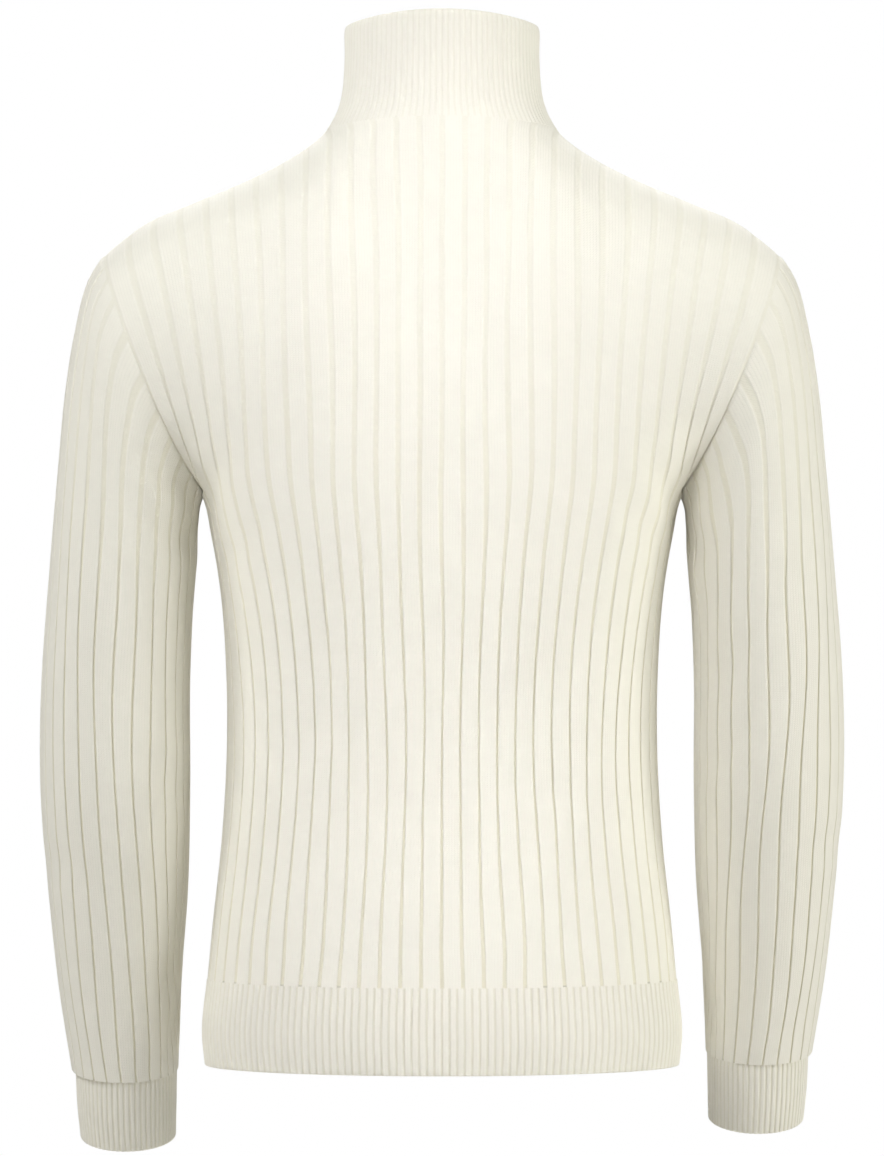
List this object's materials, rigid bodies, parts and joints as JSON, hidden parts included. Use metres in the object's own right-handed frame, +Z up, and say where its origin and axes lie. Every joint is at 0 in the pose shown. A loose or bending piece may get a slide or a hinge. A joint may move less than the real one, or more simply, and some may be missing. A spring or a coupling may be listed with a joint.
{
  "type": "half-zip sweater",
  "caption": "Long-sleeved rib-knit sweater in worn form, with a stand collar, fine-rib hem and cuffs, and a half zip at the front.",
  "frame": {"origin": "middle of the neck opening's base, level with the neck seam at the shoulders", "axes": "+Z up from hem to collar, +Y to the wearer's back, +X to the wearer's left"},
  "size_m": [0.563, 0.2182, 0.7972],
  "materials": {
    "wide_rib_knit": "matt cream wide-rib knit",
    "fine_rib_knit": "matt cream fine-rib knit",
    "zip_tape": "matt woven tape",
    "zip_metal": "satin"
  },
  "bodies": {
    "sweater": {"back": "wide_rib_knit", "front": "wide_rib_knit", "sleeve_left": "wide_rib_knit", "sleeve_right": "wide_rib_knit", "hem_back": "fine_rib_knit", "hem_front": "fine_rib_knit", "cuff_left": "fine_rib_knit", "cuff_right": "fine_rib_knit", "collar": "fine_rib_knit", "zip_tape_left": "zip_tape", "zip_tape_right": "zip_tape", "zip_chain": "zip_metal", "zip_slider": "zip_metal"},
    "pull_tab": {"zip_pull": "zip_metal"}
  },
  "joints": [
    {"name": "pull_swing", "type": "hinge", "parent": "sweater", "child": "pull_tab", "pos_m": [0, -0.06657, 0.02], "axis": [-1, 0, 0], "range_deg": [0, 160]}
  ]
}
